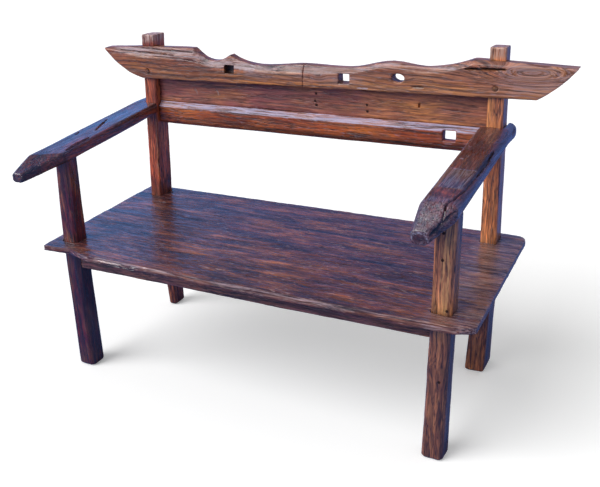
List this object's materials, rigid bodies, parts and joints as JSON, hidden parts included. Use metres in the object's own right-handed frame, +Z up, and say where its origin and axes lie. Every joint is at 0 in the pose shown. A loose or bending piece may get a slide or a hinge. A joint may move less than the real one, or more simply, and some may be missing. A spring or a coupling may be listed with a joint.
{
  "type": "wooden bench",
  "caption": "Rustic timber bench with a wide plank seat, hewn arms on through posts, and a low back with a panel, a ledged rail and a wavy crest rail.",
  "frame": {"origin": "on the floor, below the middle of the bench's box", "axes": "+X to the right-hand end seen from the front, -Y to the front, +Z up"},
  "size_m": [1.506, 0.682, 0.984],
  "materials": {
    "seat_timber": "oiled old teak, dark purple-brown, satin to glossy",
    "under_timber": "rough dark hardwood, unpolished",
    "left_post_timber": "oiled old hardwood, dark red-brown",
    "right_post_timber": "oiled old teak, orange-brown with tan streaks",
    "arm_timber": "hewn old teak, dark brown, worn to a sheen",
    "crest_timber": "weathered old teak, golden brown with a grey top edge",
    "panel_timber": "old hardwood board, reddish brown",
    "rail_timber": "old teak, orange-brown with a pale worn ledge",
    "peg_timber": "dark hardwood pegs",
    "old_nail_iron": "rusted dark iron"
  },
  "bodies": {
    "root": {"seat_board": "seat_timber", "front_apron": "under_timber", "back_apron": "under_timber", "left_side_rail": "under_timber", "right_side_rail": "under_timber", "seat_batten": "under_timber", "front_left_post": "left_post_timber", "back_left_post": "left_post_timber", "front_right_post": "right_post_timber", "back_right_post": "right_post_timber", "left_arm": "arm_timber", "right_arm": "arm_timber", "crest_left": "crest_timber", "crest_right": "crest_timber", "crest_tongue": "under_timber", "back_panel": "panel_timber", "lower_back_rail": "rail_timber", "crest_pegs": "peg_timber", "arm_pegs": "peg_timber", "apron_pegs": "peg_timber", "panel_nails": "old_nail_iron", "post_nails": "old_nail_iron"}
  },
  "joints": []
}
